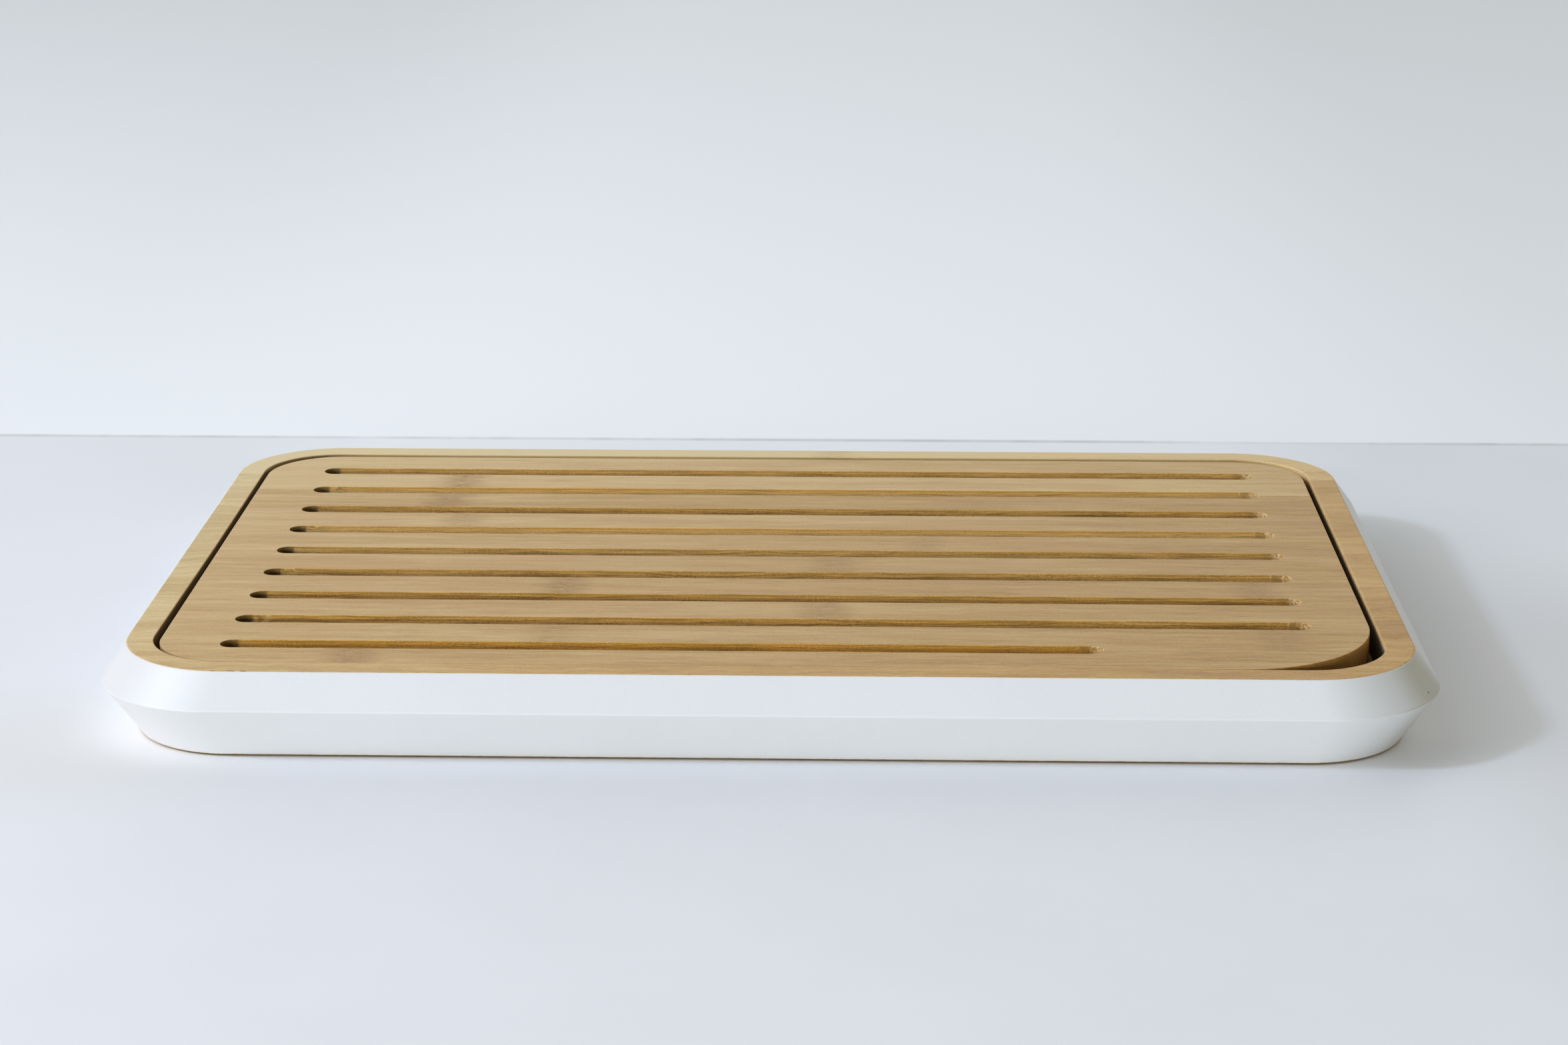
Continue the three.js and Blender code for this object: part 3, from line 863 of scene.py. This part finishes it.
def rubber_material():
    net = material_graph("dark_rubber")
    place = net.place()
    speckle = net.noise(place, SPECKLE)
    scuff = net.ramp(net.noise(place, SCUFF), *SCUFF_RAMP)
    colour = net.mix(scuff, *RUBBER_SCUFFS)
    return net.finished(colour, net.ramp(speckle, *RUBBER_SHINE), speckle, RUBBER_RELIEF)


def floor_material():
    """The pale worktop, and beyond the seam the white wall, with a painted shadow, painted shade where the
    light pools and a painted glow.
    """
    net = material_graph("pale_worktop")
    place = net.place()
    x, y, _ = net.split(place)
    mottle = net.ramp(net.noise(place, MOTTLE), *CLOUD_RAMP)
    beyond = net.eased(y, *BEYOND_SEAM)
    seen = net.node("ShaderNodeLightPath").outputs["Is Camera Ray"]
    depth = net.ramp(net.noise(place, BROKEN), *SEAM_STRENGTH)
    depth = net.plus(depth, net.eased(net.off(x, STRONG_X), *STRONG_SEAM))
    depth = net.plus(depth, net.eased(net.off(x, WEAK_X), *WEAK_SEAM), clamp=True)
    depth = net.larger(depth, net.ramp(x, *LEFT_SEAM))
    colour = net.layered(
        net.mix(mottle, *WORKTOP_CLOUDS),
        (net.times(net.eased(x, *FAR_RIGHT_X), net.eased(y, *FAR_RIGHT_Y)), SHADOW_GREY),
        # Painted shade toning down the pool of light by the tray's front left corner
        (net.eased(net.distance(place, GLOW_PLACE), *GLOW_REACH), GLOW_WHITE),
        (net.times(beyond, seen), BACKDROP_WHITE),
        (net.times(net.eased(net.off(y, SEAM_Y), *SEAM_WIDTH), depth), SEAM_GREY),
    )
    # Painted glow seen only by the camera: on the wall beyond the seam, and on the worktop behind the tray
    # where its shade falls
    off_middle = net.math("ABSOLUTE", x)
    wall_glow = net.times(beyond, net.eased(off_middle, *WALL_GLOW_REACH))
    near_wall = net.times(net.ramp(y, *NEAR_WALL_Y), net.ramp(off_middle, *NEAR_WALL_X))
    near_wall = net.times(near_wall, net.minus(1.0, beyond))
    glow = net.times(net.scaled(near_wall, NEAR_WALL_GLOW, wall_glow), seen)
    net.shader.inputs["Emission Color"].default_value = WALL_GLOW
    net.put(net.shader.inputs["Emission Strength"], glow)
    return net.finished(colour, WORKTOP_ROUGHNESS, net.noise(place, GRIT), WORKTOP_RELIEF)


def placed(name, data):
    """Puts an object into the scene."""
    made = bpy.data.objects.new(name, data)
    bpy.context.scene.collection.objects.link(made)
    return made


def mesh_piece(name, points, faces, materials, face_materials=None, sharp_above=None):
    """Makes an object from points in millimetres."""
    mesh = bpy.data.meshes.new(name)
    mesh.from_pydata([tuple(value * MM for value in point) for point in points], [], faces)
    for material in materials:
        mesh.materials.append(material)
    if face_materials:
        mesh.polygons.foreach_set("material_index", face_materials)
    shell = bmesh.new()
    shell.from_mesh(mesh)
    bmesh.ops.remove_doubles(shell, verts=shell.verts, dist=WELD)
    big = [face for face in shell.faces if len(face.verts) > 4]
    bmesh.ops.triangulate(shell, faces=big)
    bmesh.ops.recalc_face_normals(shell, faces=shell.faces)
    shell.to_mesh(mesh)
    shell.free()
    mesh.polygons.foreach_set("use_smooth", [True] * len(mesh.polygons))
    if sharp_above:
        mesh.set_sharp_from_angle(angle=sharp_above)
    mesh.update()
    return placed(name, mesh)


def wander(point, length, amount, seed):
    """A small smooth wander of a surface, the same wherever the point is the same."""
    sample = Vector((point[0] / length + seed, point[1] / length, point[2] / length))
    return noise.noise(sample) * amount


def direction(degrees):
    """The cosine and the sine of an angle, which are a direction on the plan."""
    angle = math.radians(degrees)
    return math.cos(angle), math.sin(angle)


def blended(first, second, share):
    return tuple(a + (b - a) * share for a, b in zip(first, second))


def rounded_outline(corners, station=None):
    """A closed outline, anticlockwise, from the centre, radius and first angle of each corner's arc.

    Gives its points with the outward direction at each. The straight runs have a fixed number of
    steps, or about one for each station length.
    """
    found = []
    for place, (cx, cy, radius, first) in enumerate(corners):
        for step in range(CORNER_STEPS + 1):
            out = direction(first + 90.0 * step / CORNER_STEPS)
            found.append((cx + radius * out[0], cy + radius * out[1], *out))
        start = found[-1][:2]
        next_cx, next_cy, next_radius, _ = corners[(place + 1) % len(corners)]
        end = (next_cx + next_radius * out[0], next_cy + next_radius * out[1])
        steps = max(2, int(math.dist(start, end) / station)) if station else SIDE_STEPS
        found += [(*blended(start, end, step / steps), *out) for step in range(1, steps)]
    return found


# Tray frame

def frame_ring(half_x, half_y, radius):
    """One closed ring of the tray frame, the same number of points in every ring."""
    cx = half_x - radius
    cy = half_y - radius
    return rounded_outline((
        (cx, -cy, radius, -90.0), (cx, cy, radius, 0.0), (-cx, cy, radius, 90.0), (-cx, -cy, radius, 180.0),
    ))


def toward(shape, other, distance):
    """The ring shape that lies a distance from one key ring towards the next."""
    return blended(shape, other, distance / math.hypot(other[0] - shape[0], other[3] - shape[3]))


def softened(keys):
    """The rings round the closed profile, with each key edge eased and held."""
    rings = []
    for place, (shape, ease, rows, painted) in enumerate(keys):
        before, _, _, painted_before = keys[place - 1]
        after, next_ease, _, _ = keys[(place + 1) % len(keys)]
        start = toward(shape, before, ease)
        end = toward(shape, after, ease)
        rings.append((toward(shape, before, ease + HOLD), painted_before))
        for step in range(EASE_STEPS + 1):
            share = step / EASE_STEPS
            curved = tuple(
                (1 - share) ** 2 * a + 2 * share * (1 - share) * b + share ** 2 * c
                for a, b, c in zip(start, shape, end)
            )
            rings.append((curved, painted or painted_before))
        held = toward(shape, after, ease + HOLD)
        rings.append((held, painted))
        last = toward(after, shape, next_ease + HOLD)
        rings += [(blended(held, last, row / rows), painted) for row in range(1, rows)]
    return rings


def tray_frame_piece(lacquer, wood):
    # Key rings: half sizes, corner radius and height, then the ease, the rows up to the next, painted or not
    rings = softened((
        ((*RIM_HALF, RIM_RADIUS, RIM_Z), RIM_OUTER_EASE, FLANK_ROWS, True),
        ((*WIDEST_HALF, WIDEST_RADIUS, WIDEST_Z), WIDEST_EASE, FLANK_ROWS, True),
        ((*BASE_HALF, BASE_RADIUS, BASE_Z), BASE_EASE, 0, False),
        ((*REBATE_HALF, REBATE_RADIUS, BASE_Z), STEP_EASE, REBATE_ROWS, False),
        ((*REBATE_HALF, REBATE_RADIUS, FLOOR_TOP_Z), STEP_EASE, 0, False),
        ((*OPENING_HALF, OPENING_RADIUS, FLOOR_TOP_Z), STEP_EASE, FLANK_ROWS, False),
        ((*OPENING_HALF, OPENING_RADIUS, RIM_Z), RIM_INNER_EASE, TOP_ROWS, False),
    ))
    points = []
    for (half_x, half_y, radius, height), _ in rings:
        leaning = abs(half_x - OPENING_HALF[0]) < LEAN_REACH
        for px, py, ox, oy in frame_ring(half_x, half_y, radius):
            move = wander((px, py, height), FRAME_WAVE_LENGTH, FRAME_WAVE, FRAME_WAVE_SEED) - FRAME_WAVE / 2
            if leaning and ox < 0.0:
                move -= OPENING_LEAN * ox * max(0.0, -py / OPENING_HALF[1])
            points.append((px + ox * move, py + oy * move, height))
    count = len(points) // len(rings)
    faces = []
    face_materials = []
    for place, (_, painted) in enumerate(rings):
        first = place * count
        second = ((place + 1) % len(rings)) * count
        for station in range(count):
            following = (station + 1) % count
            faces.append((first + station, second + station, second + following, first + following))
            face_materials.append(0 if painted else 1)
    piece = mesh_piece("tray_frame_fine", points, faces, (lacquer, wood), face_materials)
    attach(piece, "tray")
    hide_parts("tray_frame")


# Board staves

def slot_y(place):
    return SLOT_FIRST_Y + place * SLOT_PITCH


def slot_left(place):
    return SLOT_LEFT + SLOT_LEFT_STEP * place


def slot_right(place):
    return FRONT_SLOT_RIGHT if place == 0 else SLOT_RIGHT


def slot_stations(left, right):
    """Places along a slot's straight walls, close together near its ends."""
    stations = []
    here = left + SLOT_WIDTH / 2 + SLOT_END_STATION
    end_zone = right - SLOT_END_ZONE
    while here < right - SLOT_WIDTH / 2 - SLOT_END_STATION / 2:
        stations.append(here)
        if min(here - left, right - here) < SLOT_END_ZONE:
            here += SLOT_END_STATION
        elif here + SLOT_STATION > end_zone > here + SLOT_END_STATION:
            here = end_zone
        else:
            here += SLOT_STATION
    return stations


def slot_half(place, side):
    """Half of a slot's outline from its left tip to its right tip, with the direction into the wood."""
    left = slot_left(place)
    right = slot_right(place)
    centre = slot_y(place)
    radius = SLOT_WIDTH / 2

    def tip(cx, first):
        arc = [direction(first - 90.0 * step / SLOT_END_STEPS) for step in range(SLOT_END_STEPS + 1)]
        return [(cx + radius * ox, centre + radius * (oy * side), ox, oy * side) for ox, oy in arc]

    walls = [(station, centre + radius * side, 0.0, float(side)) for station in slot_stations(left, right)]
    return tip(left + radius, 180.0) + walls + tip(right - radius, 90.0)


def board_outline():
    """The board's outline, anticlockwise from the finger corner, with the inward direction at each point."""
    corners = (
        (BOARD_RIGHT - FINGER_RADIUS, BOARD_FRONT + FINGER_RADIUS, FINGER_RADIUS, -90.0),
        (BOARD_RIGHT - BOARD_RADIUS, BOARD_REAR - BOARD_RADIUS, BOARD_RADIUS, 0.0),
        (BOARD_LEFT + BOARD_RADIUS, BOARD_REAR - BOARD_RADIUS, BOARD_RADIUS, 90.0),
        (BOARD_LEFT + FRONT_LEFT_RADIUS, BOARD_FRONT + FRONT_LEFT_RADIUS, FRONT_LEFT_RADIUS, 180.0),
    )
    return [(px, py, -ox, -oy) for px, py, ox, oy in rounded_outline(corners, OUTLINE_STATION)]


def outline_with_cuts():
    """The outline with a point put in at each slot's centre line, and the indices of those points."""
    outline = board_outline()
    made = []
    for here, after in zip(outline, outline[1:] + outline[:1]):
        made.append((*here, None))
        low, high = sorted((here[1], after[1]))
        for place in range(SLOT_COUNT):
            level = slot_y(place)
            if low < level <= high:
                share = (level - here[1]) / (after[1] - here[1])
                px, _, dx, _ = blended(here, after, share)
                side = 1 if px > 0 else -1
                made.append((px, level, -side / abs(dx), 0.0, (place, side)))
    kept = []
    for index, point in enumerate(made):
        near = (made[index - 1], made[(index + 1) % len(made)])
        crowded = any(other[4] and math.dist(other[:2], point[:2]) < CUT_SPARE for other in near)
        if point[4] or not crowded:
            kept.append(point)
    return kept, {point[4]: index for index, point in enumerate(kept) if point[4]}


def stave_loop(number, outline, cuts):
    """The closed outline of one stave, anticlockwise: points, and the kind of edge that leaves each."""
    low = number - 2
    high = number - 1

    def along_side(first, last):
        found = []
        index = cuts[first]
        while index != cuts[last]:
            found.append((*outline[index][:4], "side"))
            index = (index + 1) % len(outline)
        return found

    def along_slot(cut, half):
        walls = [(*point, "slot") for point in half[:-1]]
        return [(*outline[cuts[cut]][:4], "glue"), *walls, (*half[-1], "glue")]

    if low < 0:
        return along_side((0, -1), (0, 1)) + along_slot((high, 1), slot_half(high, -1)[::-1])
    loop = along_slot((low, -1), slot_half(low, 1))
    if high == SLOT_COUNT:
        return loop + along_side((low, 1), (low, -1))
    loop += along_side((low, 1), (high, 1)) + along_slot((high, 1), slot_half(high, -1)[::-1])
    return loop + along_side((high, -1), (low, -1))


def board_levels(arris):
    """The stave's wall from top to bottom as (inset, height) rows."""
    turns = [direction(90.0 * step / ARRIS_STEPS) for step in range(ARRIS_STEPS + 1)]
    top = BOARD_TOP_Z - arris
    low = BOARD_LOW_Z + arris
    rows = [(arris + HOLD, BOARD_TOP_Z)]
    rows += [(arris * (1 - sine), BOARD_TOP_Z - arris * (1 - cosine)) for cosine, sine in turns]
    rows += [(0.0, top + (low - top) * step / WALL_ROWS) for step in range(1, WALL_ROWS)]
    rows += [(arris * (1 - cosine), BOARD_LOW_Z + arris * (1 - sine)) for cosine, sine in turns]
    rows.append((arris + HOLD, BOARD_LOW_Z))
    return rows


def worn(x, y, z, slotted):
    """How far a wall point lies inside the plain wall: a slight wander, and torn fibres near slot ends."""
    move = abs(wander((x, y, z), EDGE_WANDER_LENGTH, EDGE_WANDER, EDGE_WANDER_SEED))
    if slotted:
        place = round((y - SLOT_FIRST_Y) / SLOT_PITCH)
        near = min(x - slot_left(place), slot_right(place) - x)
        if near < SLOT_END_ZONE:
            share = min(1.0, (SLOT_END_ZONE - near) / TORN_FADE)
            grain_x, grain_y, grain_z = TORN_GRAIN
            rough = abs(noise.noise(Vector((x / grain_x, y / grain_y, z / grain_z))))
            move += TORN_DEPTH * rough * share
    return move


def stave_piece(number, outline, cuts, materials):
    loop = stave_loop(number, outline, cuts)
    side_rows = board_levels(BOARD_ARRIS)
    slot_rows = board_levels(BOARD_ARRIS * SLOT_ARRIS_SHARE)
    front_rows = board_levels(FRONT_ARRIS)
    rows = len(side_rows)
    points = []
    for row in range(rows):
        for px, py, dx, dy, kind in loop:
            slotted = kind == "slot" or (kind == "glue" and abs(px) < SLOT_RIGHT + SLOT_SPARE)
            plain_rows = front_rows if dy > FRONT_FACING else side_rows
            inset, height = slot_rows[row] if slotted else plain_rows[row]
            if slotted:
                inset += SLOT_WEAR + SLOT_WEAR_GROWTH * (py - SLOT_FIRST_Y)
            depth = inset + worn(px, py, height, slotted)
            points.append((px + dx * depth, py + dy * depth, height))
    count = len(loop)
    last = rows - 1
    faces = [tuple(range(count)), tuple(range(last * count, rows * count))]
    face_materials = [0, 0]
    for station in range(count):
        following = (station + 1) % count
        if loop[station][4] == "glue":
            down = range(station, rows * count, count)
            up = range(last * count + following, -1, -count)
            faces.append((*down, *up))
            face_materials.append(0)
            continue
        for row in range(last):
            first = row * count
            second = first + count
            faces.append((first + station, second + station, second + following, first + following))
            face_materials.append(0 if row in (0, last - 1) else 1)
    piece = mesh_piece("stave_%02d_fine" % number, points, faces, materials, face_materials, BOARD_SHARP)
    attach(piece, "board")
    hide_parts("board_stave_%02d" % number)


# Feet

def foot_piece(name, node, cx, cy, material):
    turns = [2 * math.pi * side / FOOT_SIDES for side in range(FOOT_SIDES)]
    points = [
        (cx + radius * math.cos(angle), cy + radius * math.sin(angle), height)
        for radius, height in FOOT_PROFILE for angle in turns
    ]
    top = len(points) - FOOT_SIDES
    faces = []
    for first in range(0, top, FOOT_SIDES):
        second = first + FOOT_SIDES
        for side in range(FOOT_SIDES):
            following = (side + 1) % FOOT_SIDES
            faces.append((first + side, first + following, second + following, second + side))
    faces.append(tuple(range(FOOT_SIDES)))
    faces.append(tuple(range(top, len(points))))
    piece = mesh_piece(name, points, faces, (material,), None, FOOT_SHARP)
    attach(piece, "tray")
    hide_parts(node)


# Hidden wood inside the tray

def inside_piece(node, material):
    """A part inside the tray, shaped as its CAD node, with its edges eased."""
    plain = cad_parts[node].data
    points = [tuple(vertex.co / MM) for vertex in plain.vertices]
    faces = [tuple(face.vertices) for face in plain.polygons]
    piece = mesh_piece(node + "_fine", points, faces, (material,))
    eased = piece.modifiers.new("eased_edges", "BEVEL")
    eased.width = INSIDE_EASE * MM
    eased.segments = INSIDE_EASE_STEPS
    eased.limit_method = "ANGLE"
    eased.harden_normals = True
    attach(piece, "tray")
    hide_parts(node)


# Stage, camera and lights

def stage_floor():
    reach = WORKTOP_REACH * MM
    corners = [(-reach, -reach, 0), (reach, -reach, 0), (reach, reach, 0), (-reach, reach, 0)]
    mesh = bpy.data.meshes.new("worktop")
    mesh.from_pydata(corners, [], [(0, 1, 2, 3)])
    mesh.materials.append(floor_material())
    floor = placed("worktop", mesh)


def add_camera():
    data = bpy.data.cameras.new("photo_camera")
    data.sensor_fit = "HORIZONTAL"
    data.sensor_width = SENSOR_WIDTH
    data.lens = FOCAL_PIXELS * SENSOR_WIDTH / PHOTO_WIDTH
    data.clip_start = CLIP_NEAR
    data.clip_end = CLIP_FAR
    camera = placed("photo_camera", data)
    yaw_cos, yaw_sin = direction(CAMERA_YAW)
    pitch_cos, pitch_sin = direction(CAMERA_PITCH)
    roll_cos, roll_sin = direction(CAMERA_ROLL)
    forward = Vector((yaw_sin * pitch_cos, yaw_cos * pitch_cos, -pitch_sin))
    level = Vector((yaw_cos, -yaw_sin, 0.0))
    below = forward.cross(level)
    right = level * roll_cos + below * roll_sin
    down = below * roll_cos - level * roll_sin
    turned = Matrix((right, -down, -forward)).transposed().to_4x4()
    camera.matrix_world = Matrix.Translation(Vector(CAMERA_PLACE)) @ turned
    bpy.context.scene.camera = camera


def add_area_light(name, place, size, power, colour):
    data = bpy.data.lights.new(name, "AREA")
    data.shape = "RECTANGLE"
    data.size, data.size_y = size
    data.energy = power
    data.color = colour
    lamp = placed(name, data)
    lamp.location = place
    lamp.rotation_euler = (Vector(LIGHT_AIM) - Vector(place)).to_track_quat("-Z", "Y").to_euler()


def add_world():
    """Light from the sides of the room, each strongest where a surface looks straight at it."""
    world = bpy.data.worlds.new("soft_room")
    bpy.context.scene.world = world
    net = Graph(world)
    seen = net.node("ShaderNodeTexCoord").outputs["Generated"]
    total = (0.0, 0.0, 0.0)
    for side, colour in ROOM_SIDES:
        share = net.larger(net.vector("DOT_PRODUCT", seen, side, "Value"), 0.0)
        total = net.vector("ADD", total, net.vector("MULTIPLY", share, colour))
    net.put(net.tree.nodes["Background"].inputs["Color"], total)


add_camera()
add_world()
for lamp in LAMPS:
    add_area_light(*lamp)
stage_floor()
bpy.context.scene.view_settings.view_transform = "Standard"

lacquer = lacquer_material()
rim_wood = rim_material()
board_top = board_top_material()
milled = milled_material()
inside_wood = inside_material()
rubber = rubber_material()

tray_frame_piece(lacquer, rim_wood)
outline, cuts = outline_with_cuts()
for number in range(1, SLOT_COUNT + 2):
    stave_piece(number, outline, cuts, (board_top, milled))
for side_y, depth_name in ((-1, "front"), (1, "rear")):
    for side_x, side_name in ((-1, "left"), (1, "right")):
        node = "foot_%s_%s" % (depth_name, side_name)
        foot_piece(node + "_fine", node, side_x * FOOT_X, side_y * FOOT_Y, rubber)
for node in ("tray_floor", "rest_strip_front", "rest_strip_rear", "rest_strip_left", "rest_strip_right"):
    inside_piece(node, inside_wood)
